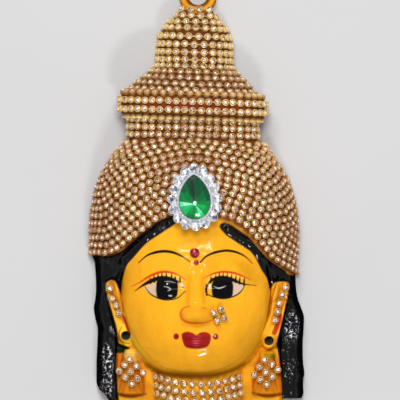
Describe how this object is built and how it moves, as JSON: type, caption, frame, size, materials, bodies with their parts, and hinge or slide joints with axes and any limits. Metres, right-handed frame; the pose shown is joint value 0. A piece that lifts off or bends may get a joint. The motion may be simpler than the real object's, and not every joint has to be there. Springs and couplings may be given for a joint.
{
  "type": "goddess face mask",
  "caption": "Hollow painted cast of a crowned goddess face with a hanging loop, its crown, ears, nose and neck dressed with rows of small stones in metal cups and a pear-stone brooch.",
  "frame": {"origin": "middle of the box's underside, on the plane that the back rim lies on", "axes": "+Z out of the face, +Y from the neck towards the hanging loop, +X towards the mask's left ear, on the right of the picture"},
  "size_m": [0.0931, 0.1836, 0.0407],
  "materials": {
    "painted_cast": "glossy yellow enamel on a resin cast, with black, red, gold and brown paint",
    "gilt_chain": "pale gilt cups, each with a clear faceted stone",
    "silver_setting": "silver plate, with clear faceted stones",
    "green_stone": "faceted green glass backed with foil",
    "red_bindi": "glossy red dome"
  },
  "bodies": {
    "root": {"bindi_large": "red_bindi", "bindi_small": "red_bindi", "brooch_setting": "silver_setting", "brooch_stone": "green_stone", "crown_collar_chain_1": "gilt_chain", "crown_collar_chain_2": "gilt_chain", "crown_collar_chain_3": "gilt_chain", "crown_dome_chain_01": "gilt_chain", "crown_dome_chain_02": "gilt_chain", "crown_dome_chain_03": "gilt_chain", "crown_dome_chain_04": "gilt_chain", "crown_dome_chain_05": "gilt_chain", "crown_dome_chain_06": "gilt_chain", "crown_dome_chain_07": "gilt_chain", "crown_dome_chain_08": "gilt_chain", "crown_dome_chain_09": "gilt_chain", "crown_dome_chain_10": "gilt_chain", "crown_dome_chain_11": "gilt_chain", "crown_dome_chain_12a": "gilt_chain", "crown_dome_chain_12b": "gilt_chain", "crown_dome_chain_13a": "gilt_chain", "crown_dome_chain_13b": "gilt_chain", "crown_dome_chain_14a": "gilt_chain", "crown_dome_chain_14b": "gilt_chain", "crown_dome_chain_15a": "gilt_chain", "crown_dome_chain_15b": "gilt_chain", "crown_drum_chain_1": "gilt_chain", "crown_drum_chain_2": "gilt_chain", "crown_drum_chain_3": "gilt_chain", "crown_drum_chain_4": "gilt_chain", "crown_finial_chain_1": "gilt_chain", "crown_finial_chain_2": "gilt_chain", "crown_finial_chain_3": "gilt_chain", "crown_finial_chain_4": "gilt_chain", "crown_flange_chain_1": "gilt_chain", "crown_flange_chain_2": "gilt_chain", "crown_skirt_chain_1": "gilt_chain", "crown_skirt_chain_2": "gilt_chain", "crown_skirt_chain_3": "gilt_chain", "crown_skirt_chain_4": "gilt_chain", "crown_skirt_chain_5": "gilt_chain", "ear_chain_left": "gilt_chain", "ear_chain_right": "gilt_chain", "ear_flower_left": "gilt_chain", "ear_flower_right": "gilt_chain", "mask_body": "painted_cast", "necklace_row_1": "gilt_chain", "necklace_row_2": "gilt_chain", "necklace_row_3": "gilt_chain", "nose_stones": "gilt_chain"}
  },
  "joints": []
}
